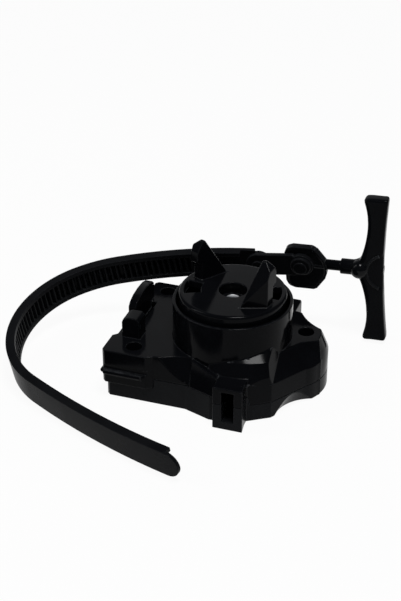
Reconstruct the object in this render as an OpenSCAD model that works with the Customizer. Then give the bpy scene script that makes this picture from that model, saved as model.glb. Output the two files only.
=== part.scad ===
// Launcher for a spinning top: geared housing, launch drum, toothed pull strip and swivelling T-handle.
// Millimetres, +Z up. The drum axis is the Z axis and the housing stands on Z = 0.

/* [Housing] */
// Radius of the round body about the drum axis
body_r = 27; // [26:0.5:29]
// Reach of the wing to the left of the drum axis
wing_reach = 41; // [39:0.5:46]
// Reach of the wing's front face from the drum axis
wing_front = 25.4; // [24.6:0.2:28]
// Reach of the wing's rear face from the drum axis
wing_rear = 27; // [25.2:0.2:29]
// Corner cut on the wing
wing_corner = 1.2; // [0.8:0.2:2.4]
// Step in the wing's left side beside the clip
wing_notch = 1.6; // [0.6:0.1:2]
// Overhang of the upper shell past the lower shell on the wing
shell_step = 1.8; // [0.6:0.1:2.4]
// How much less the lower shell steps back on its left side
lower_side = 0.9; // [0:0.1:1.2]
// Height of the wing's deck
deck_z = 20; // [19:0.5:22]
// Height of the lobe's deck
lobe_deck_z = 21; // [20:0.5:23]
// Parting height on the wing and the lobe
part_z = 6.6; // [5:0.2:8]
// Parting height along the strip channel
part_mid_z = 10.2; // [9:0.2:11]
// Left end of the raised parting
part_left = 22; // [18:0.5:24]
// Wall thickness of both shells
wall = 1.8; // [1.4:0.1:2.2]
// Floor and deck thickness
floor_t = 1.8; // [1.4:0.1:2.4]
// Radius of the bead along the wing's lower edge
bead_r = 0.9; // [0.5:0.1:1.2]
// Height of the bead above the parting
bead_rise = 4.3; // [3.6:0.1:5]
// Height of the groove in the wing's front
groove_h = 1.7; // [1.2:0.1:2.2]
// Depth of the groove in the wing's front
groove_d = 0.6; // [0.4:0.1:0.8]

/* [Lobe] */
// Reach of the lobe to the right of the drum axis
lobe_reach = 33.7; // [32:0.1:36]
// Position of the lobe along Y
lobe_y = 6.8; // [5:0.2:9]
// Right edge of the web behind the lobe
web_right = 17.6; // [17:0.2:20]
// Radius of the lobe's rounded tip
lobe_tip_r = 17.7; // [16:0.1:19]
// Left end of the front wall, X
wall_left_x = 13.1; // [12.6:0.1:13.4]
// Left end of the front wall, Y
wall_left_y = -23.6; // [-24.2:0.1:-23.2]
// Corner between the front wall and the lobe's wall, X
corner_x = 20.5; // [20:0.1:21]
// Corner between the front wall and the lobe's wall, Y
corner_y = -18.8; // [-19.4:0.1:-18.4]
// Right end of the lobe's wall, X
lobe_end_x = 33.1; // [32.8:0.1:33.4]
// Right end of the lobe's wall, Y
lobe_end_y = 1.3; // [0.6:0.1:2]
// Inward run of the slanted facet above the lobe's wall
front_in = 6.2; // [5.4:0.1:6.6]
// Turn of the facet's steep left cheek away from the Y axis
cheek_turn = 7.3; // [5:0.1:9]
// Lean of the facet's left cheek
cheek_lean = 16.6; // [14:0.2:20]
// Turn of the facet's right end
end_turn = 59.7; // [56:0.1:64]
// Lean of the facet's right end
end_lean = 24.2; // [20:0.2:28]
// Front scallop centre in the lower shell, X
front_scallop_x = 36.3; // [35:0.1:38]
// Front scallop centre in the lower shell, Y
front_scallop_y = -16.3; // [-18:0.1:-15]
// Front scallop radius at the floor
front_scallop_r = 14.9; // [13.8:0.1:15.4]
// Narrowing of the front scallop up to the parting
front_scallop_in = 3.1; // [2.9:0.1:3.4]
// Rear scallop centre, X
rear_scallop_x = 39.3; // [38:0.1:42]
// Rear scallop centre, Y
rear_scallop_y = 32.3; // [31:0.1:34]
// Rear scallop radius
rear_scallop_r = 18.7; // [17:0.1:20]
// Height at which the slopes above the walls start
slope_z = 14; // [12.5:0.5:16]
// Inward run of those slopes up to the deck
slope_in = 3.5; // [2:0.1:4.5]

/* [Collar] */
// Outer radius of the collar round the drum
collar_r = 21.6; // [21:0.1:23]
// Collar wall thickness
collar_wall = 1.2; // [1:0.1:1.8]
// Height of the collar's rim
collar_top = 35; // [33:0.5:37]
// Height at which the front shoulder meets the collar
shoulder_top = 24.8; // [24.2:0.2:26]
// Centre of the front shoulder's curve, X
shoulder_x = 4.4; // [3.6:0.1:5]
// Centre of the front shoulder's curve, Y
shoulder_y = 5.8; // [5.2:0.1:6.4]
// Radius of the front shoulder's edge about that centre
shoulder_edge_r = 27.1; // [26.6:0.1:27.6]
// Height of the front shoulder's edge
shoulder_edge_z = 21.6; // [21:0.1:22.4]
// Radius at the foot of the front shoulder
shoulder_foot_r = 30.3; // [29.6:0.1:31]
// Radius at the top of the front shoulder
shoulder_in_r = 22.6; // [22:0.1:23.4]
// Height at which the front shoulder meets the wall
shoulder_low = 15.2; // [14.4:0.2:16]
// Left end of the front shoulder
shoulder_left = -1.6; // [-2.4:0.2:-0.8]
// Height of the floor inside the collar
web_top = 24; // [23.6:0.2:25]

/* [Front facets] */
// Left end of the flat front facet, X
facet_left_x = -10; // [-11:0.1:-9.4]
// Turn of the flat front facet away from the X axis
facet_turn = 19; // [17:0.5:20]
// Backward lean of the upper shell's front facet
facet_lean = 15; // [12:0.5:18]
// Right end of the scoop
scoop_right = -8.2; // [-9:0.1:-7.4]
// Scoop centre, X
scoop_x = -6.3; // [-8:0.1:-5]
// Scoop centre, Y
scoop_y = -46.3; // [-48:0.1:-45]
// Scoop radius at the deck
scoop_r = 26.5; // [25:0.1:27]
// Narrowing of the scoop per millimetre of depth
scoop_slope = 0.4; // [0.3:0.05:0.6]

/* [Grip clip] */
// Left face of the clip's front block
clip_left = -37.2; // [-38:0.1:-36]
// Width of the clip's front block
clip_w = 6.8; // [5:0.2:7.6]
// Front face of the clip's front block
clip_front = -14.6; // [-15.4:0.1:-13.6]
// Length of the clip's front block
clip_len = 6.4; // [5:0.2:7]
// Height of the clip above the deck
clip_h = 8.2; // [6:0.2:9]
// Rounding of the front block's top
clip_round = 2.2; // [1.4:0.1:2.8]
// Width of the opening beside the ridge
opening_w = 2.4; // [1.8:0.1:3.2]
// Gap between the block and the ridge behind it
ridge_gap = 5.4; // [4.4:0.2:7]
// Length of the ridge
ridge_len = 19; // [16:0.5:20]
// Thickness of the ridge
ridge_t = 3; // [2.4:0.1:3.6]

/* [Housing screws] */
// Front wing screw, X
screw_front_x = -30.7; // [-32:0.1:-29]
// Front wing screw, Y
screw_front_y = -19.4; // [-19.8:0.1:-18.8]
// Rear wing screw, X
screw_rear_x = -32.6; // [-34:0.1:-30]
// Rear wing screw, Y
screw_rear_y = 21.4; // [19:0.1:21.6]
// Lobe screw, X
screw_lobe_x = 25.2; // [24:0.1:26]
// Lobe screw, Y
screw_lobe_y = 8.6; // [7:0.1:9]
// Radius of the screw wells
well_r = 2.8; // [2.6:0.1:3]
// Height of the screw seats
seat_z = 9; // [8.5:0.1:10]
// Screw shank radius
screw_r = 1.15; // [0.9:0.05:1.3]
// Screw head radius
screw_head_r = 2.3; // [1.8:0.1:2.4]
// Screw head height
screw_head_h = 1.7; // [1.2:0.1:2.2]

/* [Strip channel] */
// Side play of the strip in its slot
slot_play_w = 1; // [0.8:0.1:1.4]
// Play of the strip's width in its slot
slot_play_h = 1.4; // [1:0.1:1.8]
// Gap between the strip's back and the guide
guide_clear = 0.2; // [0.1:0.05:0.4]
// Height of the slot's lower edge
slot_z = 3; // [2.6:0.1:3.6]
// Width of the slot blocks
block_w = 11; // [9.6:0.2:12]
// Narrowing of the blocks towards the body
block_taper = 0.7; // [0.3:0.1:1]
// Length of that narrowing
block_run = 5; // [3:0.5:6]
// Distance of the slot blocks' faces from the drum axis
block_reach = 31; // [29.5:0.5:33]
// Height of the slot blocks
block_h = 17; // [16.6:0.1:18]

/* [Drum] */
// Gap between the drum and the collar
drum_gap = 1; // [0.6:0.1:1.4]
// Height of the drum's top face
drum_top = 38.5; // [37.5:0.5:41]
// Thickness of the drum's top plate
drum_plate = 3; // [2:0.1:3.6]
// Rounding radius of the drum's rim
rim_r = 1.2; // [0.6:0.1:1.6]
// Depth of the drum's skirt
drum_skirt = 11; // [8:0.5:12]
// Skirt thickness
drum_wall = 1.8; // [1.2:0.1:2.4]
// Radius of the drum's centre well
well_centre_r = 5; // [4:0.1:6]
// Depth of the drum's centre well
well_depth = 4.4; // [3.4:0.1:4.6]
// Inner radius of the two windows
window_in_r = 11.6; // [11.2:0.1:12.4]
// Window width
window_w = 5.8; // [4.8:0.1:6]
// Start angle of the first window
window_from = -5; // [-8:1:-2]
// Angle each window spans
window_span = 31; // [24:1:34]

/* [Prongs] */
// Distance of the prongs' leading tips from the axis
prong_off = 9.9; // [9.5:0.1:10.4]
// Outward run of the inner face towards the tall end
prong_in = 2.7; // [2:0.1:3.4]
// Width of the wedge-shaped foot
prong_w = 7.3; // [6.4:0.1:7.8]
// Leading tip along the prong
prong_front = 8.6; // [8:0.1:9.2]
// Outer corner of the foot along the prong
prong_mid = 2.3; // [1.6:0.1:3]
// Tall end along the prong, behind the axis
prong_back = 1.9; // [1.2:0.1:2.4]
// Height of the prong's peak
prong_h = 15.9; // [14:0.1:17]
// Fall of the prong's top towards its outer side
prong_fall = 4.6; // [3.6:0.1:5.4]
// Peak position from the tall end
prong_peak = 0.8; // [0.5:0.1:1.6]
// Reach of the hook past the tall end
hook_reach = 2.2; // [1.4:0.1:2.6]
// Drop of the hook's top corner below the peak
hook_drop = 4.2; // [3:0.1:5]
// Thickness of the hook at its end
hook_t = 4; // [3:0.1:5]
// Direction of the prongs
prong_dir = 69; // [55:1:80]

/* [Drive] */
// Teeth on the drive gear
gear_teeth = 22; // [20:1:24]
// Gear and rack module
tooth_module = 0.7; // [0.6:0.05:0.75]
// Face width of the gear
gear_w = 6; // [4:0.1:6.2]
// Radius of the spindle
spindle_r = 1.5; // [1.2:0.05:1.8]
// Radial running clearance on the spindle
run_clear = 0.06; // [0.04:0.01:0.1]
// Axial running clearance
end_clear = 0.1; // [0.05:0.01:0.2]
// Thickness of the steel washers
washer_t = 0.6; // [0.4:0.05:0.8]
// Radius of the spindle boss
boss_r = 4.5; // [3.6:0.1:5]

/* [Clutch] */
// Radius of the drum's hub inside the clutch
hub_r = 4.6; // [4.2:0.1:4.8]
// Radius of the hub above the clutch
hub_top_r = 8; // [7.8:0.1:8.2]
// Height of the key ribs on the hub
key_h = 1; // [0.6:0.1:1.1]
// Width of the key ribs
key_w = 1.6; // [1.2:0.1:2]
// Sliding clearance of the clutch ring
slide_clear = 0.12; // [0.08:0.01:0.2]
// Outer radius of the clutch ring
clutch_r = 7.4; // [7.2:0.1:7.8]
// Height of the clutch ring
clutch_h = 3.8; // [3:0.1:4.2]
// Height of the clutch teeth
dog_h = 1; // [0.6:0.1:1.2]
// Number of clutch teeth
dog_count = 4; // [3:1:5]
// Spring wire radius
spring_wire = 0.4; // [0.3:0.05:0.5]
// Turns of the clutch spring
spring_turns = 4; // [3:1:5]

/* [Strip] */
// Width of the strip
strip_w = 10.9; // [10:0.1:11.4]
// Thickness of the strip
strip_t = 3.4; // [3:0.1:3.8]
// Thickness of the strip's back
back_t = 1.5; // [1.1:0.1:1.8]
// Width of the rails along the strip's edges
rail_w = 1.7; // [1.2:0.1:1.9]
// How far the rack teeth stop short of the rails
tip_drop = 0.2; // [0.1:0.05:0.4]
// Length of the bare tongue at the strip's tip
tongue_len = 4.6; // [3:0.1:5]
// Radius of the strip's end round the rivet
end_r = 4.4; // [4:0.1:4.7]
// How far before the rivet the strip narrows to that end
end_lap = 1.3; // [0.8:0.1:1.8]
// Length between the last tooth and the end of the rails
plain_len = 6.6; // [5:0.2:8]
// Tilt of the lying strip out of the level
strip_tilt = 13.3; // [10:0.1:14.2]
// Direction of the line that the strip tilts about
tilt_dir = -23.2; // [-28:0.2:-18]

/* [Link and handle] */
// Distance from the rivet to the link pin
tang_len = 16.7; // [15:0.1:20]
// Upward tilt of the tang from the strip's end
tang_rise = 2.5; // [0:0.5:6]
// Height of the tang
tang_h = 9.6; // [8:0.1:9.8]
// Thickness of the tang
tang_t = 1.7; // [1.2:0.1:1.8]
// Outer radius of the tang's eye
eye_r = 4.7; // [4:0.1:5.2]
// Rivet radius
rivet_r = 1.4; // [1:0.05:1.6]
// Rivet head radius
rivet_head_r = 2.3; // [2:0.1:2.8]
// Rivet head height
rivet_head_h = 0.9; // [0.6:0.1:1.4]
// Link pin radius
pin_r = 1.6; // [1.2:0.05:2]
// Length of the link block
link_len = 16; // [14:0.1:18]
// Height of the link block
link_h = 20.2; // [16:0.1:21]
// Corner cut of the link block
link_cut = 4.6; // [3:0.1:5.5]
// Thickness of each link plate
link_plate = 2.4; // [2:0.1:3]
// Drop of the rod's axis below the link pin
link_sink = 1.7; // [0.8:0.1:2.4]
// Drop of the link plates' middle below the link pin
plate_sink = 2.8; // [1.6:0.1:3.4]
// How much smaller the rear link plate is all round
plate_inset = 2.6; // [1.5:0.1:3]
// Downward angle of the link at rest
link_drop = 6; // [0:0.5:8]
// Radius of the swivel rod
rod_r = 2; // [1.6:0.05:2.3]
// Visible length of the swivel rod
rod_gap = 5; // [3:0.1:8]
// Radius of the handle's sleeve
sleeve_r = 2.95; // [2.9:0.05:3.4]
// Length of the handle's sleeve
sleeve_len = 7; // [5:0.1:9]
// Radius of the ball on the handle's neck
ball_r = 3.7; // [3.4:0.1:4.4]
// Length of the handle's bar
bar_len = 59.5; // [52:0.5:61]
// Height of the cut corners at the bar's ends
bar_round = 2; // [1.4:0.1:2.6]
// Depth of the bar at its middle
bar_w = 6.2; // [5.8:0.1:8]
// Distance of the bar's slimmest places from its middle
bar_waist = 19.4; // [17:0.2:21]
// Thickness of the bar
bar_t = 5.4; // [5:0.1:7]
// Radius of the round recess on the bar's faces
bar_dish_r = 7.2; // [6:0.1:8]
// Depth of that recess
bar_dish = 0.7; // [0.4:0.05:0.9]
// Turn of the handle about the rod at rest
handle_roll = -12.6; // [-20:0.2:20]

/* [Hidden] */
$fn = 64;
eps = 0.01;
plastic = [0.06, 0.06, 0.065];
inner_plastic = [0.75, 0.75, 0.72];
steel = [0.72, 0.73, 0.75];

// Rack and channel
pitch_r = tooth_module * gear_teeth / 2;
slot_w = strip_t + slot_play_w;
slot_h = strip_w + slot_play_h;
channel_x = pitch_r - tooth_module - tip_drop + strip_t + guide_clear - slot_w / 2;
tooth_pitch = PI * tooth_module;
tooth_out = tooth_module;
tooth_in = 1.25 * tooth_module;

// Screw in the drum's well
drum_screw_r = 0.9;
drum_screw_head_r = 2.9;
drum_screw_head_h = 1.8;
drum_screw_len = 8;

// Heights up the spindle
gear_z = slot_z + slot_h / 2 - gear_w / 2;
hub_rise = 0.8;
gear_base = gear_z - 0.4;
gear_top = gear_z + gear_w + hub_rise;
boss_top = gear_base - end_clear - washer_t;
clutch_z = gear_top + dog_h + end_clear;
clutch_top = clutch_z + clutch_h;
clutch_travel = dog_h + 0.2;
hub_low = gear_top + 3 * end_clear;
hub_step = web_top;
seat_low = hub_step - washer_t;
well_floor = drum_top - well_depth - washer_t - drum_screw_head_h - 0.6;
spindle_top = well_floor + end_clear;
spindle_sink = 1;

// Clip
ridge_left = -wing_reach + wing_notch + 0.2;
wall_left = [wall_left_x, wall_left_y];
corner = [corner_x, corner_y];
lobe_end = [lobe_end_x, lobe_end_y];
wall_out = [corner_y - wall_left_y, wall_left_x - corner_x] / norm(corner - wall_left);
lobe_out = [lobe_end_y - corner_y, corner_x - lobe_end_x] / norm(lobe_end - corner);
facet_left_y = shell_step - wing_front;
ridge_y = clip_front + clip_len + ridge_gap;

// Drum
collar_in = collar_r - collar_wall;
drum_r = collar_in - drum_gap;
web_t = 2;
web_hole = hub_top_r + 0.8;
hub_dog_in = hub_r + key_h + 0.3;

// Strip centre line: tip, first heading, then arcs of [radius, turn], all turning right
strip_at = [-63.4, -36.9, 0.65];
strip_tip = [66.9, -26.2];
strip_heading = 164;
strip_arcs = [[322, 12.6], [36, 109.4], [50, 20.4], [168, 18.6]];
function heading(i) = i == 0 ? strip_heading : heading(i - 1) - strip_arcs[i - 1][1];
function arc_centre(i) = joint_point(i) + strip_arcs[i][0] * [sin(heading(i)), -cos(heading(i))];
function joint_point(i) = i == 0 ? strip_tip : arc_centre(i - 1) + strip_arcs[i - 1][0] * [-sin(heading(i)), cos(heading(i))];
last = len(strip_arcs);
tongue_turn = tongue_len / strip_arcs[0][0] * 180 / PI;
bare_turn = (rivet_head_r + 4.5) / strip_arcs[last - 1][0] * 180 / PI;

// Link parts across the strip's thickness, Y = 0 at its middle, negative towards the toothed side
strip_back_y = strip_t / 2;
lap_y = strip_back_y - back_t;
lap_clear = 0.15;
tang_y = lap_y - lap_clear - tang_t;
link_front_y = tang_y + tang_t + lap_clear;
link_back_y = link_front_y + 2 * link_plate;
rod_y = link_front_y + link_plate;
link_left = -6.6;
link_right = link_left + link_len;
rod_root = link_right - 5;
neck_x = link_right + rod_gap;
ball_x = neck_x + sleeve_len + 0.4;
journal_r = 0.6 * rod_r;
rod_head_r = journal_r + 0.5;
rod_head_h = 1.4;
rod_head_x = ball_x + 1;
plug_r = rod_head_r + 0.2;
pocket_end = rod_head_x + rod_head_h + 2 * end_clear;
bar_front = ball_x + 2.8;
bar_back = bar_front + bar_w;
bar_fillet_r = 27.9;
bar_inner_r = 1.58 * bar_fillet_r;
bar_back_r = 290;

// Plan shapes

// Wing seen from above, drawn in by inset
module wing_plan(inset, side) {
    x = wing_reach - inset + side;
    front = wing_front - inset;
    rear = wing_rear - inset;
    c = wing_corner;
    n = wing_notch;
    polygon([
        [0, -front], [0, rear], [-x + n + c, rear], [-x + n, rear - c],
        [-x + n, clip_front + n], [-x, clip_front], [-x, -front + c], [-x + c, -front]
    ]);
}

// Lobe and rear web seen from above, drawn in by inset
module lobe_plan(inset) {
    difference() {
        union() {
            translate([lobe_reach - lobe_tip_r, lobe_y])
                circle(r = lobe_tip_r - inset);
            translate([0, -body_r / 2])
                square([web_right - inset, block_reach + body_r / 2 - 1 - inset]);
            front_plan(inset);
        }
        translate([rear_scallop_x, rear_scallop_y])
            circle(r = rear_scallop_r + inset);
    }
}

// Flat front wall and the lobe's wall seen from above, drawn in by inset
module front_plan(inset) {
    polygon([
        [0, 0], wall_left - inset * wall_out, corner - inset * (wall_out + lobe_out) / (1 + wall_out * lobe_out),
        lobe_end - inset * lobe_out, [lobe_reach - lobe_tip_r, lobe_y]
    ]);
}

// Everything in front of the flat front facet, seen from above
module facet_plan(inset) {
    far = 2 * body_r;
    y = facet_left_y + inset / cos(facet_turn);
    run = channel_x - facet_left_x;
    polygon([
        [-part_left, y], [facet_left_x, y], [channel_x, y - run * tan(facet_turn)],
        [channel_x, -far], [-part_left, -far]
    ]);
}

module housing_plan(inset, wing_inset) {
    difference() {
        union() {
            wing_plan(wing_inset, lower_side);
            circle(r = body_r - inset);
            lobe_plan(inset);
        }
        facet_plan(inset);
    }
}

// Housing pieces shared by both shells

// Everything under the stepped parting line
module below_parting() {
    far = 2 * (wing_reach + block_reach);
    translate([-far / 2, -far / 2, -1])
        cube([far, far, part_z + 1]);
    translate([-part_left, -far / 2, -1])
        cube([part_left + channel_x + block_w / 2, far, part_mid_z + 1]);
}

// Blocks at both ends of the strip channel
module slot_blocks() {
    left = channel_x - block_w / 2;
    right = channel_x + block_w / 2;
    foot = block_reach - block_run;
    linear_extrude(block_h)
        polygon([
            [left, -block_reach], [right, -block_reach], [right - block_taper, -foot],
            [right - block_taper, foot], [right, block_reach], [left, block_reach]
        ]);
}

// Everything on the far side of the plane through p that n points away from
module beyond(p, n) {
    far = 2 * (wing_reach + block_reach);
    translate(p)
        rotate([0, acos(n[2] / norm(n)), atan2(n[1], n[0])])
            translate([-far / 2, -far / 2, 0])
                cube(far);
}

// The strip's way through the housing
module strip_way() {
    translate([channel_x - slot_w / 2, -block_reach - 1, slot_z])
        cube([slot_w, 2 * block_reach + 2, slot_h]);
}

screw_spots = [[screw_front_x, screw_front_y], [screw_rear_x, screw_rear_y], [screw_lobe_x, screw_lobe_y]];

module at_screws() {
    for (p = screw_spots)
        translate([p[0], p[1], 0])
            children();
}

// Scallop cutter: upright below slope_z, opening out above it
module scallop_cut(x, y, r) {
    rise = lobe_deck_z - slope_z;
    translate([x, y, 0])
        rotate_extrude($fn = 96)
            polygon([[0, -1], [r, -1], [r, slope_z], [r + 2 * slope_in, slope_z + 2 * rise], [0, slope_z + 2 * rise]]);
}

// Upper shell

// Sloped shoulder between the front wall and the collar
module front_shoulder() {
    intersection() {
        translate([shoulder_x, shoulder_y, shoulder_low - 1])
            rotate_extrude($fn = 96)
                polygon([
                    [0, 0], [shoulder_foot_r, 0], [shoulder_foot_r, 1],
                    [shoulder_edge_r, shoulder_edge_z - shoulder_low + 1],
                    [shoulder_in_r, shoulder_top - shoulder_low + 1], [0, shoulder_top - shoulder_low + 1]
                ]);
        translate([0, 0, part_z])
            linear_extrude(shoulder_top)
                polygon([
                    [shoulder_left, -body_r / 3], [shoulder_left, -body_r], [channel_x, -body_r],
                    wall_left, corner, [lobe_reach, -body_r / 3]
                ]);
    }
}

// Lobe, front wall and rear web before the facet and the scallop are cut
module lobe_block() {
    rise = lobe_deck_z - slope_z;
    foot = (collar_r + 0.4) * [cos(33), -sin(33)];
    translate([lobe_reach - lobe_tip_r, lobe_y, 0])
        rotate_extrude($fn = 96)
            polygon([
                [0, 0], [lobe_tip_r, 0], [lobe_tip_r, slope_z],
                [lobe_tip_r - slope_in * 0.8, slope_z + rise], [0, slope_z + rise]
            ]);
    linear_extrude(lobe_deck_z)
        polygon([[0, 0], foot, corner, lobe_end, [lobe_reach - slope_in, lobe_y], [0, lobe_y]]);
    linear_extrude(shoulder_low)
        front_plan(0);
    front = 0.37 * body_r;
    translate([0, -front, 0])
        cube([web_right, block_reach + front - 1, lobe_deck_z]);
}

// Slanted facet above the lobe's wall, with a steep cheek beside the collar
module lobe_facet() {
    rise = lobe_deck_z - slope_z;
    intersection() {
        beyond([corner_x, corner_y, slope_z], [rise * lobe_out[0], rise * lobe_out[1], front_in]);
        beyond([corner_x + 0.3, corner_y, slope_z], [cos(cheek_turn), -sin(cheek_turn), tan(cheek_lean)]);
        beyond([lobe_end_x - 0.2, lobe_end_y + 0.2, slope_z], [cos(end_turn), -sin(end_turn), tan(end_lean)]);
    }
}

// Bead along the wing's lower edge
module wing_bead() {
    x = wing_reach;
    y = wing_front;
    z = part_z + bead_rise;
    translate([-x + wing_corner / 2, -y + 0.1, z])
        rotate([0, 90, 0])
            cylinder(h = x - part_left - 2.6 * shell_step, r = bead_r, $fn = 24);
    translate([-x, -y + wing_corner / 2, z])
        rotate([-90, 0, 0])
            cylinder(h = y + clip_front - wing_corner, r = bead_r, $fn = 24);
}

// Groove above the bead in the wing's front
module wing_groove() {
    translate([-wing_reach - 1, -wing_front - 1, part_z + bead_rise + 1.6 * bead_r])
        cube([wing_reach - part_left + 1, groove_d + 1, groove_h]);
}

// Clip on the wing that a pistol grip slides under: a front block and a ridge with an arched top
module grip_clip() {
    h = clip_h + 1;
    r = clip_round;
    translate([clip_left, clip_front + clip_len, deck_z - 1])
        rotate([90, 0, 0])
            linear_extrude(clip_len)
                polygon([
                    [0, 0], [clip_w, 0], [clip_w, h - r / 2], [clip_w - r / 2, h], [r, h],
                    [0.3 * r, h - 0.3 * r], [0, h - r]
                ]);
    translate([ridge_left, ridge_y, deck_z - 1])
        rotate([90, 0, 90])
            linear_extrude(ridge_t)
                polygon([
                    [0, 0], [0, 0.7 * h], [0.08 * ridge_len, 0.86 * h], [0.25 * ridge_len, 0.98 * h],
                    [0.5 * ridge_len, 1.03 * h], [0.75 * ridge_len, h], [0.92 * ridge_len, 0.9 * h],
                    [ridge_len, 0.76 * h], [ridge_len, 0]
                ]);
}

// Opening in the deck beside the clip's ridge
module clip_pocket() {
    front = clip_front + clip_len + 0.6;
    left = ridge_left + ridge_t;
    translate([left, front, deck_z - floor_t - 1])
        cube([opening_w, ridge_y + 0.8 * ridge_len - front, floor_t + 2]);
}

// Hollow under the decks and under the collar's floor
module upper_hollow() {
    translate([0, 0, -1]) {
        linear_extrude(deck_z - floor_t + 1)
            difference() {
                wing_plan(wall + shell_step, 0);
                translate([scoop_x, scoop_y])
                    circle(r = scoop_r + 2 * wall);
            }
        linear_extrude(lobe_deck_z - floor_t + 1)
            difference() {
                translate([lobe_reach - lobe_tip_r, lobe_y])
                    circle(r = lobe_tip_r - wall - slope_in);
                translate((corner * lobe_out - front_in - wall / 2) * lobe_out)
                    rotate(atan2(lobe_out[1], lobe_out[0]))
                        translate([0, -body_r])
                            square(2 * body_r);
                translate([rear_scallop_x, rear_scallop_y])
                    circle(r = rear_scallop_r + wall + slope_in);
            }
        cylinder(h = web_top - web_t + 1, r = collar_r - wall);
    }
}

// Leaning flat cut left of the front slot block
module facet_cut() {
    far = 2 * body_r;
    intersection() {
        beyond([facet_left_x, facet_left_y, part_mid_z], [-sin(facet_turn), -cos(facet_turn), tan(facet_lean)]);
        translate([scoop_right, -far, part_z])
            cube([channel_x - scoop_right, far, far]);
    }
}

// Lets the deck's end fall from the scoop to the top of the slot block
module pillar_top_cut() {
    right = channel_x - block_w / 2 + 1;
    translate([0, -body_r / 2, 0])
        rotate([90, 0, 0])
            linear_extrude(body_r)
                polygon([[scoop_right, deck_z], [right, block_h - 0.3], [right, 2 * deck_z], [scoop_right, 2 * deck_z]]);
}

// Brings the wing's front back to the lower shell's line right of its block
module front_step_cut() {
    step_y = wing_front - shell_step;
    far = 2 * body_r;
    start = part_left + 1.4 * shell_step;
    translate([0, 0, part_z])
        linear_extrude(deck_z)
            polygon([
                [-start, -wing_front - 0.2], [-part_left, -step_y], [scoop_right, -step_y],
                [scoop_right, -far], [-start, -far]
            ]);
}

// Scoop in the wing's front
module scoop_cut() {
    far = 2 * body_r;
    intersection() {
        translate([scoop_x, scoop_y, 0])
            cylinder(h = deck_z + 1, r1 = scoop_r - scoop_slope * deck_z, r2 = scoop_r + scoop_slope, $fn = 96);
        translate([scoop_right - far, -far, -1])
            cube([far, far, far]);
    }
}

// Outside of the upper shell before it is hollowed
module upper_block() {
    difference() {
        union() {
            linear_extrude(deck_z)
                wing_plan(0, 0);
            cylinder(h = shoulder_low - 0.4, r = body_r, $fn = 96);
            translate([scoop_right, -body_r - 1, 0])
                cube([channel_x - block_w / 2 + 1 - scoop_right, body_r, deck_z]);
        }
        scoop_cut();
        front_step_cut();
        wing_groove();
        facet_cut();
        pillar_top_cut();
    }
    lobe_block();
    front_shoulder();
    wing_bead();
}

module upper_shell() {
    color(plastic)
        difference() {
            union() {
                difference() {
                    union() {
                        difference() {
                            upper_block();
                            lobe_facet();
                            scallop_cut(rear_scallop_x, rear_scallop_y, rear_scallop_r);
                        }
                        cylinder(h = collar_top, r = collar_r, $fn = 128);
                    }
                    upper_hollow();
                }
                difference() {
                    slot_blocks();
                    translate([0, 0, -1])
                        cylinder(h = block_h + 2, r = body_r - 2 * wall);
                }
                at_screws()
                    cylinder(h = deck_z - eps, r = well_r + 1.3);
                grip_clip();
            }
            clip_pocket();
            translate([0, 0, web_top])
                cylinder(h = collar_top, r = collar_in, $fn = 128);
            translate([0, 0, part_z])
                cylinder(h = collar_top, r = web_hole);
            at_screws() {
                translate([0, 0, seat_z])
                    cylinder(h = lobe_deck_z, r = well_r);
                translate([0, 0, -1])
                    cylinder(h = seat_z + 2, r = screw_r + 0.35);
            }
            strip_way();
            below_parting();
        }
}

// Lower shell

// Scallop under the lobe's wall, deepest at the floor
module front_scallop() {
    slope = front_scallop_in / part_z;
    translate([front_scallop_x, front_scallop_y, -1])
        cylinder(h = part_z + 1.6, r1 = front_scallop_r + slope, r2 = front_scallop_r - slope * (part_z + 0.6), $fn = 96);
}

module lower_shell() {
    color(plastic)
        intersection() {
            difference() {
                union() {
                    difference() {
                        linear_extrude(part_mid_z)
                            housing_plan(0, shell_step);
                        front_scallop();
                        translate([0, 0, floor_t])
                            linear_extrude(part_mid_z)
                                difference() {
                                    housing_plan(wall, shell_step + wall);
                                    translate([front_scallop_x, front_scallop_y])
                                        circle(r = front_scallop_r + wall);
                                }
                    }
                    difference() {
                        slot_blocks();
                        translate([0, 0, floor_t])
                            cylinder(h = block_h, r = body_r - 2 * wall);
                    }
                    cylinder(h = boss_top, r = boss_r);
                    at_screws()
                        cylinder(h = part_z, r = well_r + 1);
                    strip_guide();
                }
                translate([0, 0, floor_t - spindle_sink])
                    cylinder(h = boss_top, r = spindle_r);
                at_screws()
                    translate([0, 0, floor_t])
                        cylinder(h = part_z, r = screw_r + 0.03);
                strip_way();
            }
            below_parting();
        }
}

// Wall that backs the strip against the gear
module strip_guide() {
    x = channel_x + slot_w / 2;
    reach = sqrt(pow(body_r - wall, 2) - pow(x + wall, 2));
    translate([x, -reach - wall / 2, floor_t / 2])
        cube([wall, 2 * reach + wall, part_mid_z - floor_t / 2]);
}

// Fasteners and steel parts

module housing_screws() {
    color(steel)
        at_screws()
            difference() {
                union() {
                    translate([0, 0, floor_t + 0.6])
                        cylinder(h = seat_z - floor_t - 0.5, r = screw_r);
                    translate([0, 0, seat_z])
                        cylinder(h = screw_head_h, r = screw_head_r);
                }
                cross_slot(seat_z + screw_head_h, screw_head_r);
            }
}

// Cross recess in a screw head whose top is at z
module cross_slot(z, head_r) {
    arm = 1.1 * head_r;
    for (turn = [0, 90])
        translate([0, 0, z])
            rotate([0, 0, turn])
                cube([arm, 0.28 * head_r, 1.4], center = true);
}

module spindle() {
    color(steel)
        difference() {
            translate([0, 0, floor_t - spindle_sink])
                cylinder(h = spindle_top - floor_t + spindle_sink, r = spindle_r);
            translate([0, 0, spindle_top - drum_screw_len])
                cylinder(h = drum_screw_len + 1, r = drum_screw_r + 0.03);
        }
}

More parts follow.
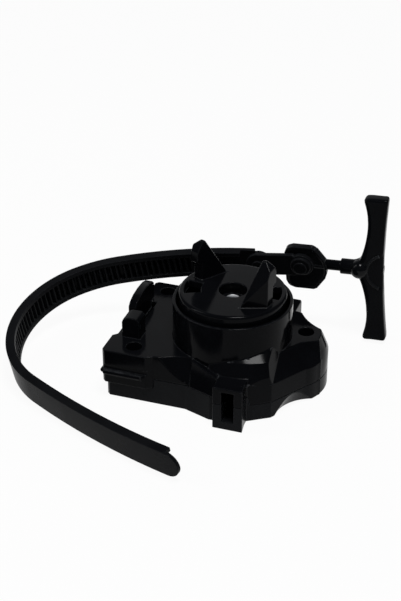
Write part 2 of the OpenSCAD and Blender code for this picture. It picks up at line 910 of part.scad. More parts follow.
module ring(z, h, outer, inner) {
    translate([0, 0, z])
        difference() {
            cylinder(h = h, r = outer);
            translate([0, 0, -1])
                cylinder(h = h + 2, r = inner);
        }
}

module thrust_washer() {
    color(steel)
        ring(boss_top, washer_t, boss_r, spindle_r + run_clear);
}

module drum_washer() {
    color(steel)
        ring(spindle_top, washer_t, drum_screw_head_r + 0.4, drum_screw_r + 0.15);
}

module drum_screw() {
    head_z = spindle_top + washer_t;
    color(steel)
        difference() {
            union() {
                translate([0, 0, spindle_top - drum_screw_len + 0.4])
                    cylinder(h = drum_screw_len + washer_t, r = drum_screw_r);
                translate([0, 0, head_z])
                    cylinder(h = drum_screw_head_h, r = drum_screw_head_r);
            }
            cross_slot(head_z + drum_screw_head_h, drum_screw_head_r);
        }
}

// Drive

// One gear tooth pointing along +X
module gear_tooth() {
    half = tooth_pitch / 4;
    root = pitch_r - tooth_in;
    tip = pitch_r + tooth_out;
    flank = tan(20);
    polygon([
        [root - 0.6, -half - tooth_in * flank], [tip, -half + tooth_out * flank],
        [tip, half - tooth_out * flank], [root - 0.6, half + tooth_in * flank]
    ]);
}

// Ring of face teeth from z up by h, turned by turn
module face_teeth(z, h, turn) {
    span = 180 / dog_count - 8;
    for (i = [0 : dog_count - 1])
        rotate([0, 0, i * 360 / dog_count + turn])
            translate([0, 0, z])
                rotate_extrude(angle = span)
                    translate([hub_dog_in, 0])
                        square([clutch_r - hub_dog_in - 0.1, h]);
}

module drive_gear() {
    color(inner_plastic)
        difference() {
            union() {
                translate([0, 0, gear_z])
                    linear_extrude(gear_w) {
                        circle(r = pitch_r - tooth_in);
                        for (i = [0 : gear_teeth - 1])
                            rotate(i * 360 / gear_teeth)
                                gear_tooth();
                    }
                translate([0, 0, gear_base])
                    cylinder(h = gear_z - gear_base + 1, r = boss_r);
                translate([0, 0, gear_z + gear_w - eps])
                    cylinder(h = hub_rise + eps, r = clutch_r);
                face_teeth(gear_top - 0.5, dog_h + 0.5, 0);
            }
            translate([0, 0, gear_base - 1])
                cylinder(h = gear_w + dog_h + 5, r = spindle_r + run_clear);
        }
}

module hub_keys(z, h, r, w) {
    translate([-r, -w / 2, z])
        cube([2 * r, w, h]);
}

module clutch_ring() {
    color(inner_plastic)
        difference() {
            union() {
                translate([0, 0, clutch_z])
                    cylinder(h = clutch_h, r = clutch_r);
                face_teeth(clutch_z - dog_h, dog_h + 0.5, 180 / dog_count);
            }
            translate([0, 0, clutch_z - dog_h - 1])
                cylinder(h = clutch_h + dog_h + 2, r = hub_r + slide_clear);
            hub_keys(clutch_z - 1, clutch_h + 2, hub_r + key_h + slide_clear, key_w + 2 * slide_clear);
        }
}

// Helical tube: rings of sides points along the coil, joined by triangles
module clutch_spring() {
    sides = 6;
    steps = 14;
    coil_r = (hub_r + clutch_r) / 2 + 0.3;
    low = clutch_top + spring_wire + 0.02;
    high = seat_low - spring_wire - 0.02;
    count = spring_turns * steps;
    points = [
        for (i = [0 : count], j = [0 : sides - 1])
            let (a = i * 360 / steps, b = j * 360 / sides, r = coil_r + spring_wire * cos(b))
                [r * cos(a), r * sin(a), low + (high - low) * i / count + spring_wire * sin(b)]
    ];
    tube = [
        for (i = [0 : count - 1], j = [0 : sides - 1], half = [0, 1])
            let (k = (j + 1) % sides, p = i * sides, q = p + sides)
                half == 0 ? [p + j, q + j, q + k] : [p + j, q + k, p + k]
    ];
    first_cap = [for (j = [1 : sides - 2]) [0, j, j + 1]];
    last_cap = [for (j = [1 : sides - 2]) [count * sides, count * sides + j + 1, count * sides + j]];
    color(steel)
        polyhedron(points, concat(tube, first_cap, last_cap));
}

module spring_seat() {
    color(steel)
        ring(seat_low, washer_t, clutch_r, hub_r + key_h + slide_clear);
}

// Launch drum

// Prong standing on the drum, its outer face leaning in towards the top
module prong() {
    hook_top = prong_h - hook_drop;
    hook_end = -prong_back - hook_reach;
    back_x = -prong_off - prong_in;
    rotate([0, 0, prong_dir - 90])
        translate([0, 0, drum_top - eps])
            intersection() {
                rotate([90, 0, -90])
                    linear_extrude(drum_r)
                        mirror([1, 0])
                            polygon([
                                [-prong_back, 0], [-prong_back, hook_top - hook_t - hook_reach / 2],
                                [hook_end, hook_top - hook_t], [hook_end, hook_top],
                                [hook_end + hook_reach / 2, hook_top + hook_drop / 2], [prong_peak - prong_back - 0.8, prong_h],
                                [prong_peak - prong_back + 0.5, prong_h], [prong_front + 0.3, 0]
                            ]);
                translate([0, prong_front + 1, 0])
                    rotate([90, 0, 0])
                        linear_extrude(prong_front - hook_end + 3)
                            polygon([
                                [0, -1], [0, prong_h + 1], [back_x - 0.2, prong_h + 1],
                                [-drum_r, prong_h - prong_fall], [-drum_r, -1]
                            ]);
                linear_extrude(prong_h + 1)
                    polygon([
                        [-prong_off, prong_front], [back_x, -prong_back], [back_x - 0.4, hook_end - 1],
                        [-prong_off - prong_w + 1.2, hook_end - 1], [-prong_off - prong_w, prong_mid]
                    ]);
            }
}

module window_cut() {
    rotate([0, 0, window_from])
        translate([0, 0, drum_top - drum_plate - 1])
            rotate_extrude(angle = window_span)
                translate([window_in_r, 0])
                    square([window_w, drum_plate + 2]);
}

module launch_drum() {
    plate_z = drum_top - drum_plate;
    color(plastic)
        difference() {
            union() {
                translate([0, 0, drum_top - drum_skirt])
                    cylinder(h = drum_skirt - rim_r, r = drum_r, $fn = 128);
                translate([0, 0, drum_top - drum_skirt])
                    cylinder(h = drum_skirt, r = drum_r - rim_r, $fn = 128);
                translate([0, 0, drum_top - rim_r])
                    rotate_extrude($fn = 128)
                        translate([drum_r - rim_r, 0])
                            circle(r = rim_r, $fn = 32);
                for (turn = [0, 180])
                    rotate([0, 0, turn])
                        prong();
            }
            difference() {
                translate([0, 0, drum_top - drum_skirt - 1])
                    cylinder(h = drum_skirt - drum_plate + 1, r = drum_r - drum_wall);
                translate([0, 0, drum_top - drum_skirt - 2])
                    cylinder(h = drum_skirt + 2, r = hub_top_r);
            }
            translate([0, 0, drum_top - well_depth])
                cylinder(h = well_depth + 1, r = well_centre_r);
            translate([0, 0, well_floor])
                cylinder(h = drum_top - well_floor - 1, r = drum_screw_head_r + 0.8);
            translate([0, 0, drum_top - drum_skirt - 1])
                cylinder(h = drum_skirt, r = spindle_r + run_clear);
            for (turn = [0, 180])
                rotate([0, 0, turn])
                    window_cut();
        }
    color(plastic)
        difference() {
            union() {
                translate([0, 0, hub_step])
                    cylinder(h = drum_top - drum_skirt - hub_step + eps, r = hub_top_r);
                translate([0, 0, hub_low])
                    cylinder(h = hub_step - hub_low + 1, r = hub_r);
                hub_keys(hub_low, hub_step - hub_low + 1, hub_r + key_h, key_w);
            }
            translate([0, 0, hub_low - 1])
                cylinder(h = drum_top, r = spindle_r + run_clear);
        }
}

// Strip, link and handle frames

module strip_frame() {
    translate(strip_at)
        rotate(a = strip_tilt, v = [cos(tilt_dir), sin(tilt_dir), 0])
            children();
}

// Origin at the rivet, X onward from the strip's end, Y through its thickness, Z across its width
module end_frame() {
    strip_frame()
        end_in_strip()
            children();
}

module end_in_strip() {
    translate([joint_point(last)[0], joint_point(last)[1], strip_w / 2])
        rotate([0, 0, heading(last)])
            children();
}

// Same origin, X along the tang
module tang_frame() {
    end_frame()
        rotate([0, -tang_rise, 0])
            children();
}

// Origin at the link pin
module link_frame() {
    tang_frame()
        translate([tang_len, 0, 0])
            rotate([0, link_drop, 0])
                children();
}

// Same origin, X along the swivel rod, turned with the handle
module handle_frame() {
    link_frame()
        translate([0, rod_y, -link_sink])
            rotate([handle_roll, 0, 0])
                children();
}

// Point on arc i after turning by a, off millimetres outward from the centre line
function arc_point(i, a, off) =
    arc_centre(i) + (strip_arcs[i][0] + off) * [cos(heading(i) + 90 - a), sin(heading(i) + 90 - a)];

// First and last turn of arc i that carry rails and teeth
function rack_from(i) = i == 0 ? tongue_turn : 0;
function rack_to(i) = strip_arcs[i][1] - (i == last - 1 ? bare_turn : 0);

function teeth_to(i) = rack_to(i) - (i == last - 1 ? plain_len / strip_arcs[i][0] * 180 / PI : 0);

// Points along the strip between turns, for the whole strip or for its rack
function strip_line(off, rack) = [
    for (i = [0 : last - 1])
        let (
            a0 = rack ? rack_from(i) : 0,
            a1 = rack ? rack_to(i) : strip_arcs[i][1],
            n = max(ceil((a1 - a0) / 3), ceil((a1 - a0) * strip_arcs[i][0] * PI / 180 / 6))
        )
            for (k = [i == 0 ? 0 : 1 : n])
                arc_point(i, a0 + (a1 - a0) * k / n, off)
];

// Toothed side of the rack, four points per tooth
function tooth_line(root, tip) = [
    for (i = [0 : last - 1])
        let (
            step = tooth_pitch / strip_arcs[i][0] * 180 / PI,
            n = floor((teeth_to(i) - rack_from(i)) / step),
            spare = (teeth_to(i) - rack_from(i) - n * step) / 2
        )
            for (k = [0 : n - 1], f = [[0.08, root], [0.37, tip], [0.63, tip], [0.92, root]])
                arc_point(i, rack_from(i) + spare + (k + f[0]) * step, f[1])
];

function turned_round(line) = [for (k = [len(line) - 1 : -1 : 0]) line[k]];

// Straight run past the rivet, half the strip's width long
function end_point(off) =
    joint_point(last) + off * [-sin(heading(last)), cos(heading(last))]
    + strip_w / 2 * [cos(heading(last)), sin(heading(last))];

// The whole strip's back seen along its width
module back_ribbon() {
    inner = strip_t / 2 - back_t;
    outer = strip_t / 2;
    polygon(concat(
        strip_line(outer, false), [end_point(outer), end_point(inner)], turned_round(strip_line(inner, false))
    ));
}

// Ribbon between two offsets of the strip's line where it carries the rack
module rail_ribbon(outer, inner) {
    polygon(concat(strip_line(outer, true), turned_round(strip_line(inner, true))));
}

// Ribbon whose inner side is the row of teeth
module toothed_ribbon(outer) {
    root = strip_t / 2 - back_t - 0.06;
    polygon(concat(strip_line(outer, true), turned_round(tooth_line(root, tip_drop - strip_t / 2))));
}

// What the round tip leaves out of a square end
module tip_corners() {
    half = strip_w / 2;
    translate([strip_tip[0], strip_tip[1], half])
        rotate([0, 0, strip_heading])
            rotate([90, 0, 0])
                difference() {
                    translate([-1, -strip_w, -2 * strip_t])
                        cube([half + 1, 2 * strip_w, 4 * strip_t]);
                    translate([half, 0, -3 * strip_t])
                        cylinder(h = 6 * strip_t, r = half);
                }
}

// What the round end leaves out of a square end
module end_corners() {
    half = strip_w / 2;
    end_in_strip()
        rotate([90, 0, 0])
            difference() {
                translate([-end_lap, -strip_w, -2 * strip_t])
                    cube([half + 1 + end_lap, 2 * strip_w, 4 * strip_t]);
                translate([0, 0, -3 * strip_t])
                    cylinder(h = 6 * strip_t, r = end_r);
            }
}

module rack_strip() {
    mid_back = strip_t / 2 - back_t / 2;
    color(plastic)
        difference() {
            strip_frame() {
                difference() {
                    linear_extrude(strip_w)
                        back_ribbon();
                    tip_corners();
                    end_corners();
                }
                for (z = [0, strip_w - rail_w])
                    translate([0, 0, z])
                        linear_extrude(rail_w)
                            rail_ribbon(mid_back, -strip_t / 2);
                translate([0, 0, rail_w - 0.3])
                    linear_extrude(strip_w - 2 * rail_w + 0.6)
                        toothed_ribbon(mid_back - 0.2);
            }
            end_frame()
                rotate([90, 0, 0])
                    cylinder(h = 8 * strip_t, r = rivet_r + 0.03, center = true);
        }
}

// Headed pin along Y from y0 to y1 in the current frame
module headed_pin(y0, y1, r, head_r, head_h) {
    translate([0, y1, 0])
        rotate([90, 0, 0])
            cylinder(h = y1 - y0, r = r);
    translate([0, y0, 0])
        rotate([90, 0, 0])
            cylinder(h = head_h, r = head_r);
}

module strip_rivet() {
    color(steel)
        end_frame() {
            headed_pin(tang_y - lap_clear, strip_back_y, rivet_r, rivet_head_r, rivet_head_h);
            translate([0, strip_back_y + rivet_head_h, 0])
                rotate([90, 0, 0])
                    cylinder(h = rivet_head_h, r = rivet_head_r);
        }
}

module link_tang() {
    color(plastic)
        tang_frame()
            translate([0, tang_y + tang_t, 0])
                rotate([90, 0, 0])
                    difference() {
                        union() {
                            cylinder(h = tang_t, r = tang_h / 2);
                            translate([0, -tang_h / 2, 0])
                                cube([tang_len - eye_r / 2, tang_h, tang_t]);
                            translate([tang_len, 0, 0])
                                cylinder(h = tang_t, r = eye_r);
                            translate([tang_len, 0, 0])
                                cylinder(h = tang_t + 1, r = eye_r - 0.9);
                        }
                        translate([0, 0, -1])
                            cylinder(h = tang_t + 3, r = rivet_r + run_clear);
                        translate([tang_len, 0, -1])
                            cylinder(h = tang_t + 3, r = pin_r + run_clear);
                    }
}

// Eight-sided outline of a link plate, drawn in by inset but for its right end
module link_plan(inset) {
    c = link_cut;
    h = link_h / 2 - inset;
    left = link_left + inset;
    polygon([
        [left + c / 2, -h], [link_right - c, -h], [link_right, -h + 1.5 * c], [link_right, h - 1.5 * c],
        [link_right - c, h], [left + c / 2, h], [left, h - c / 2], [left, -h + c / 2]
    ]);
}

// One link plate from y0 towards +Y, with half of the rod's seat in it
module link_plate_at(y0, inset) {
    difference() {
        translate([0, y0 + link_plate, -plate_sink])
            rotate([90, 0, 0])
                linear_extrude(link_plate)
                    link_plan(inset);
        rotate([90, 0, 0])
            cylinder(h = 12 * link_plate, r = pin_r + 0.03, center = true);
        translate([rod_root, rod_y, -link_sink])
            rotate([0, 90, 0])
                cylinder(h = link_len, r = rod_r + 0.03);
    }
}

module link_plate_front() {
    color(plastic)
        link_frame()
            link_plate_at(link_front_y, 0);
}

module link_plate_rear() {
    color(plastic)
        link_frame()
            link_plate_at(link_front_y + link_plate, plate_inset);
}

module link_pin() {
    color(steel)
        link_frame()
            headed_pin(tang_y - 1 - lap_clear, link_back_y, pin_r, pin_r + 1, 0.8);
}

// Rod with a slimmer journal inside the handle and a head behind it
module swivel_rod() {
    color(plastic)
        link_frame()
            translate([0, rod_y, -link_sink])
                rotate([0, 90, 0]) {
                    translate([0, 0, rod_root])
                        cylinder(h = neck_x - end_clear - rod_root, r = rod_r);
                    translate([0, 0, rod_root + 1])
                        cylinder(h = rod_head_x - rod_root, r = journal_r);
                    translate([0, 0, rod_head_x])
                        cylinder(h = rod_head_h, r = rod_head_r);
                }
}

module rod_washer() {
    color(steel)
        link_frame()
            translate([rod_head_x - washer_t, rod_y, -link_sink])
                rotate([0, 90, 0])
                    ring(0, washer_t, rod_head_r, journal_r);
}

// Bar outline in X and Z: waisted, flared at both ends, filleted into the neck
module bar_plan() {
    end = bar_len / 2;
    left = ball_x - 0.5;
    right = bar_back + 4;
    cut = 1.5 * bar_round;
    difference() {
        polygon([
            [left, -end / 2], [bar_front - cut, bar_round - end], [bar_front - cut / 5, -end], [bar_back + 1, -end],
            [right, bar_round - end], [right, end - bar_round], [bar_back + 1, end], [bar_front - cut / 5, end],
            [bar_front - cut, end - bar_round], [left, end / 2]
        ]);
        for (side = [-1, 1])
            translate([bar_front - bar_fillet_r, side * bar_waist])
                circle(r = bar_fillet_r, $fn = 128);
        for (side = [-1, 1])
            intersection() {
                translate([bar_front - bar_inner_r, side * bar_waist])
                    circle(r = bar_inner_r, $fn = 128);
                translate([bar_front - bar_len / 2, -bar_waist])
                    square([bar_len, 2 * bar_waist]);
            }
        translate([bar_back + bar_back_r, 0])
            circle(r = bar_back_r, $fn = 256);
    }
}

module pull_handle() {
    color(plastic)
        handle_frame()
            difference() {
                union() {
                    translate([0, bar_t / 2, 0])
                        rotate([90, 0, 0])
                            linear_extrude(bar_t)
                                bar_plan();
                    translate([ball_x, 0, 0])
                        sphere(r = ball_r);
                    translate([neck_x, 0, 0])
                        rotate([0, 90, 0])
                            cylinder(h = ball_x - neck_x, r = sleeve_r);
                }
                for (side = [-1, 1])
                    translate([bar_back + 1, side * (bar_t - bar_dish), 0])
                        rotate([90, 0, 0])
                            cylinder(h = bar_t, r = bar_dish_r, center = true);
                translate([neck_x - 1, 0, 0])
                    rotate([0, 90, 0])
                        cylinder(h = rod_head_x - neck_x + 1, r = journal_r + run_clear);
                translate([rod_head_x - washer_t - end_clear, 0, 0])
                    rotate([0, 90, 0])
                        cylinder(h = bar_len, r = plug_r);
            }
}

module handle_plug() {
    color(plastic)
        handle_frame()
            translate([pocket_end, 0, 0])
                rotate([0, 90, 0])
                    cylinder(h = bar_back - pocket_end, r = plug_r);
}

upper_shell();
lower_shell();
housing_screws();
spindle();
thrust_washer();
drum_washer();
drum_screw();
drive_gear();
clutch_ring();
clutch_spring();
launch_drum();
spring_seat();
rack_strip();
strip_rivet();
link_tang();
link_plate_front();
link_plate_rear();
link_pin();
swivel_rod();
rod_washer();
pull_handle();
handle_plug();
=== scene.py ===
import math

import bmesh
import bpy
from mathutils import Matrix, Vector
from mathutils.bvhtree import BVHTree


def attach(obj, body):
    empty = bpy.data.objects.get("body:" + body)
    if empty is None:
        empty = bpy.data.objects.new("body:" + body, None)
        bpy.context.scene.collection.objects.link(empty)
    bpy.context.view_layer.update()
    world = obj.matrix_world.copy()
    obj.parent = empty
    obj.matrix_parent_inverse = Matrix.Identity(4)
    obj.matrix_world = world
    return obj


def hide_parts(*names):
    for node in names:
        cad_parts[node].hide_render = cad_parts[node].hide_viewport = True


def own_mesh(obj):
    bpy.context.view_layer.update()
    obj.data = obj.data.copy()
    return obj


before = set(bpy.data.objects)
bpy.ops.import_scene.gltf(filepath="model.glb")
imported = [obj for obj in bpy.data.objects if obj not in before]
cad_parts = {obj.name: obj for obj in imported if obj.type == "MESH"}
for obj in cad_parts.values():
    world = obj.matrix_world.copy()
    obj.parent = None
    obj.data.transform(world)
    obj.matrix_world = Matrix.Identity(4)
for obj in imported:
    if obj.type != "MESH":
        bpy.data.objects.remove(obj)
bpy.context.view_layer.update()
scene = bpy.context.scene
scene.view_settings.view_transform = "Standard"
print("frame loaded with", len(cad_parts), "nodes")


# A camera or lamp goes to its place and looks at a point
def aimed(item, place, aim):
    scene.collection.objects.link(item)
    item.location = place
    item.rotation_mode = "QUATERNION"
    item.rotation_quaternion = (Vector(aim) - Vector(place)).to_track_quat("-Z", "Y")


# Camera: the photograph looks down on the front right of the housing
cameraPlan = {
    "place": (0.14399, -0.4537, 0.31431), "aim": (-0.01029, -0.00563, 0.03516),
    "lens": 92.57, "sensor": 36, "near": 0.01, "far": 50,
}
cameraData = bpy.data.cameras.new("photoCamera")
cameraData.lens = cameraPlan["lens"]
cameraData.sensor_width = cameraPlan["sensor"]
cameraData.clip_start = cameraPlan["near"]
cameraData.clip_end = cameraPlan["far"]
photoCamera = bpy.data.objects.new("photoCamera", cameraData)
aimed(photoCamera, cameraPlan["place"], cameraPlan["aim"])
scene.camera = photoCamera
print("camera placed")

# Where a colour Mix node keeps its two colours and its result
mixSockets = {"first": 6, "second": 7, "result": 2}


# Small helpers for the node trees
class FinishTree:
    def __init__(self, name):
        self.material = bpy.data.materials.new(name)
        self.material.use_nodes = True
        self.nodes = self.material.node_tree.nodes
        self.links = self.material.node_tree.links
        self.shader = self.nodes["Principled BSDF"]
        self.spot = self.add("ShaderNodeTexCoord").outputs["Object"]

    def add(self, kind, **settings):
        node = self.nodes.new(kind)
        for key, value in settings.items():
            setattr(node, key, value)
        return node

    def join(self, start, end):
        self.links.new(start, end)

    def stretched(self, scale):
        node = self.add("ShaderNodeMapping")
        node.inputs["Scale"].default_value = scale
        self.join(self.spot, node.inputs["Vector"])
        return node.outputs["Vector"]

    def noise(self, scale, detail, where=None):
        node = self.add("ShaderNodeTexNoise")
        node.inputs["Scale"].default_value = scale
        node.inputs["Detail"].default_value = detail
        self.join(where or self.spot, node.inputs["Vector"])
        return node.outputs["Fac"]

    def specks(self, scale):
        node = self.add("ShaderNodeTexVoronoi")
        node.inputs["Scale"].default_value = scale
        self.join(self.spot, node.inputs["Vector"])
        return node.outputs["Distance"]

    # What lies in the span is stretched over the target
    def spread(self, value, span, target=(0, 1)):
        node = self.add("ShaderNodeMapRange", clamp=True)
        for key, number in zip(("From Min", "From Max", "To Min", "To Max"), (*span, *target)):
            node.inputs[key].default_value = number
        self.join(value, node.inputs["Value"])
        return node.outputs["Result"]

    def times(self, first, second):
        node = self.add("ShaderNodeMath", operation="MULTIPLY")
        self.join(first, node.inputs[0])
        if isinstance(second, (int, float)):
            node.inputs[1].default_value = second
        else:
            self.join(second, node.inputs[1])
        return node.outputs["Value"]

    def tint(self, share, first, second):
        node = self.add("ShaderNodeMix", data_type="RGBA")
        self.join(share, node.inputs["Factor"])
        for key, colour in (("first", first), ("second", second)):
            socket = node.inputs[mixSockets[key]]
            if isinstance(colour, tuple):
                socket.default_value = (*colour, 1)
            else:
                self.join(colour, socket)
        return node.outputs[mixSockets["result"]]

    # 1 on outer edges, 0 on flats
    def edgeMask(self, radius, samples, span):
        rounded = self.add("ShaderNodeBevel", samples=samples)
        rounded.inputs["Radius"].default_value = radius
        flat = self.add("ShaderNodeNewGeometry")
        turn = self.add("ShaderNodeVectorMath", operation="DOT_PRODUCT")
        self.join(rounded.outputs["Normal"], turn.inputs[0])
        self.join(flat.outputs["True Normal"], turn.inputs[1])
        return self.spread(turn.outputs["Value"], span)

    def grain(self, height, strength, depth):
        node = self.add("ShaderNodeBump")
        node.inputs["Strength"].default_value = strength
        node.inputs["Distance"].default_value = depth
        self.join(height, node.inputs["Height"])
        self.join(node.outputs["Normal"], self.shader.inputs["Normal"])

    def set(self, **values):
        sockets = {
            "colour": "Base Color", "rough": "Roughness",
            "gloss": "Specular IOR Level", "metal": "Metallic",
        }
        for key, value in values.items():
            socket = self.shader.inputs[sockets[key]]
            if isinstance(value, tuple):
                socket.default_value = (*value, 1)
            elif isinstance(value, (int, float)):
                socket.default_value = value
            else:
                self.join(value, socket)


# Glossy black moulding: faint flow marks, matt patches, a lighter grey on the edges that is partly
# rub wear and partly a painted highlight, a little dust
def blackMoulding(name, plan):
    tree = FinishTree(name)
    flow = tree.noise(*plan["flow"])
    body = tree.tint(tree.spread(flow, plan["flowSpan"]), plan["deep"], plan["lift"])
    patches = tree.spread(tree.noise(*plan["rubAndHighlightNoise"]), plan["rubAndHighlightSpan"], plan["rubAndHighlightPatches"])
    # Lighter grey on the outer edges: partly rub wear, partly a painted highlight along the edges
    edges = tree.edgeMask(plan["rubAndHighlightWidth"], plan["rubAndHighlightSamples"], plan["rubAndHighlightTurn"])
    rubbedAndHighlit = tree.times(tree.times(edges, patches), plan["rubAndHighlightShare"])
    bodyWithRubAndHighlight = tree.tint(rubbedAndHighlit, body, plan["rubAndHighlightTone"])
    motes = tree.spread(tree.specks(plan["dust"]), plan["dustSpan"])
    dusty = tree.tint(tree.times(motes, plan["dustShare"]), bodyWithRubAndHighlight, plan["dustTone"])
    tree.set(colour=dusty, gloss=plan["gloss"], metal=0.0)
    tree.set(rough=tree.spread(flow, plan["roughSpan"], plan["rough"]))
    tree.grain(tree.noise(*plan["grain"]), plan["grainStrength"], plan["grainDepth"])
    return tree.material


# flow, rubAndHighlightNoise and grain are each a noise's scale and detail
shellFinish = {
    "deep": (0.0021, 0.0023, 0.003), "lift": (0.0034, 0.0037, 0.0046),
    "flow": (55, 4), "flowSpan": (0.35, 0.68),
    "rough": (0.08, 0.16), "roughSpan": (0.3, 0.72), "gloss": 0.045,
    # edge grey: partly rub wear, partly a painted highlight along the edges
    "rubAndHighlightNoise": (420, 3), "rubAndHighlightSpan": (0.34, 0.6), "rubAndHighlightPatches": (0.2, 1),
    "rubAndHighlightWidth": 0.0005, "rubAndHighlightSamples": 6, "rubAndHighlightTurn": (0.99, 0.86),
    "rubAndHighlightShare": 0.75, "rubAndHighlightTone": (0.055, 0.058, 0.063),
    "dust": 520, "dustSpan": (0.07, 0.03), "dustShare": 0.25, "dustTone": (0.02, 0.021, 0.023),
    "grain": (3200, 2), "grainStrength": 0.05, "grainDepth": 0.0001,
}
stripFinish = dict(
    shellFinish, deep=(0.0043, 0.0046, 0.0055), lift=(0.0059, 0.0063, 0.0073), gloss=0.021,
    rough=(0.24, 0.38), flow=(90, 4), grainStrength=0.08, rubAndHighlightShare=0.25,
)
handleFinish = dict(shellFinish, rough=(0.1, 0.18), rubAndHighlightShare=0.4, gloss=0.03)
linkFinish = dict(
    handleFinish, deep=(0.0052, 0.0055, 0.0064), lift=(0.007, 0.0075, 0.0085), gloss=0.045,
)
ballFinish = dict(shellFinish, rough=(0.1, 0.16), rubAndHighlightShare=0.2, gloss=0.09)
# Lower shell black: lighter than the shell black, partly a greyer, more matt moulding and partly a
# painted reflection of the white floor on its low walls
lowerShellFinishWithFloorSheen = dict(
    shellFinish, deep=(0.0058, 0.0063, 0.0074), lift=(0.0082, 0.0088, 0.01),
    rough=(0.2, 0.3), flow=(75, 4), rubAndHighlightShare=0.4,
)
shellBlack = blackMoulding("shellBlack", shellFinish)
stripBlack = blackMoulding("stripBlack", stripFinish)
handleBlack = blackMoulding("handleBlack", handleFinish)
lowerShellBlackWithFloorSheen = blackMoulding("lowerShellBlackWithFloorSheen", lowerShellFinishWithFloorSheen)
linkBlack = blackMoulding("linkBlack", linkFinish)
ballBlack = blackMoulding("ballBlack", ballFinish)

# Plated steel with fine turning marks
platingPlan = {
    "dull": (0.5, 0.51, 0.53), "bright": (0.72, 0.73, 0.74), "toneSpan": (0.35, 0.65),
    "marks": (4, 3), "across": (900, 900, 90), "rough": (0.2, 0.42), "roughSpan": (0.3, 0.7),
    "grainStrength": 0.08, "grainDepth": 0.00005,
}


def platedSteel(name, plan):
    tree = FinishTree(name)
    marks = tree.noise(*plan["marks"], tree.stretched(plan["across"]))
    tone = tree.tint(tree.spread(marks, plan["toneSpan"]), plan["dull"], plan["bright"])
    tree.set(colour=tone, metal=1.0, rough=tree.spread(marks, plan["roughSpan"], plan["rough"]))
    tree.grain(marks, plan["grainStrength"], plan["grainDepth"])
    return tree.material


steelFinish = platedSteel("platedSteel", platingPlan)
dullSteel = platedSteel("dullSteel", dict(platingPlan, rough=(0.4, 0.58)))

# Unpainted inner plastic, smoother where it is greasy
innerPlan = {
    "clean": (0.62, 0.61, 0.57), "greasy": (0.5, 0.48, 0.42), "toneSpan": (0.4, 0.7),
    "film": (160, 4), "rough": (0.55, 0.35), "roughSpan": (0.35, 0.7), "gloss": 0.4,
    "grain": (2500, 2), "grainStrength": 0.05, "grainDepth": 0.0001,
}


def innerPlastic(name, plan):
    tree = FinishTree(name)
    film = tree.noise(*plan["film"])
    tone = tree.tint(tree.spread(film, plan["toneSpan"]), plan["clean"], plan["greasy"])
    tree.set(colour=tone, gloss=plan["gloss"])
    tree.set(rough=tree.spread(film, plan["roughSpan"], plan["rough"]))
    tree.grain(tree.noise(*plan["grain"]), plan["grainStrength"], plan["grainDepth"])
    return tree.material


paleFinish = innerPlastic("innerPlastic", innerPlan)
print("finishes made")

# Distances at which corners become one, on copies of CAD solids and on new pieces
mergeGap = {"copy": 0.00002, "piece": 0.000005}


def cadCopy(nodeName):
    shape = bmesh.new()
    shape.from_mesh(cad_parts[nodeName].data)
    bmesh.ops.remove_doubles(shape, verts=shape.verts, dist=mergeGap["copy"])
    return shape


def closeHoles(shape):
    openEdges = [edge for edge in shape.edges if edge.is_boundary]
    bmesh.ops.holes_fill(shape, edges=openEdges, sides=0)


def spunRound(shape, axis, steps):
    bmesh.ops.spin(
        shape, geom=shape.verts[:] + shape.edges[:], axis=axis, cent=(0, 0, 0),
        angle=2 * math.pi, steps=steps, use_merge=True,
    )


# A finished bmesh becomes an object of the scene
def placed(pieceName, shape):
    mesh = bpy.data.meshes.new(pieceName)
    shape.to_mesh(mesh)
    shape.free()
    piece = bpy.data.objects.new(pieceName, mesh)
    scene.collection.objects.link(piece)
    return piece


def smoothFaces(shape):
    for face in shape.faces:
        face.smooth = True


# The frontmost face goes down a little and leaves a rim round it
def sinkFace(shape, sunk):
    facing = Vector(sunk["facing"]).normalized()
    shape.normal_update()
    level = [face for face in shape.faces if face.normal.dot(facing) > sunk["aligned"]]
    front = max(face.calc_center_median().dot(facing) for face in level)
    level = [
        face for face in level
        if front - face.calc_center_median().dot(facing) < sunk["slack"]
    ]
    for width, depth in ((sunk["rim"], 0), (sunk["wall"], -sunk["deep"])):
        bmesh.ops.inset_region(
            shape, faces=level, thickness=width, depth=depth,
            use_even_offset=True, use_boundary=True,
        )


# The corners of a plate's outline are cut back, the ones that run through its whole thickness
def cutCorners(shape, corners):
    through = Vector(corners["through"]).normalized()
    shape.normal_update()
    cuts = []
    for edge in shape.edges:
        run = edge.verts[1].co - edge.verts[0].co
        if run.length <= corners["thick"] or abs(run.normalized().dot(through)) <= corners["aligned"]:
            continue
        if edge.calc_face_angle_signed(0) > corners["turn"]:
            outward = (edge.link_faces[0].normal + edge.link_faces[1].normal).normalized()
            cuts.append((edge.verts[0].co - outward * corners["depth"], outward))
    for place, outward in cuts:
        everything = shape.verts[:] + shape.edges[:] + shape.faces[:]
        bmesh.ops.bisect_plane(
            shape, geom=everything, plane_co=place, plane_no=outward, clear_outer=True,
        )
        closeHoles(shape)


# For every moulded edge: shading crease in degrees, how far a bevel may stray, weight of large faces
edgeStyle = {"crease": 42, "stray": 1.2, "weight": 80}


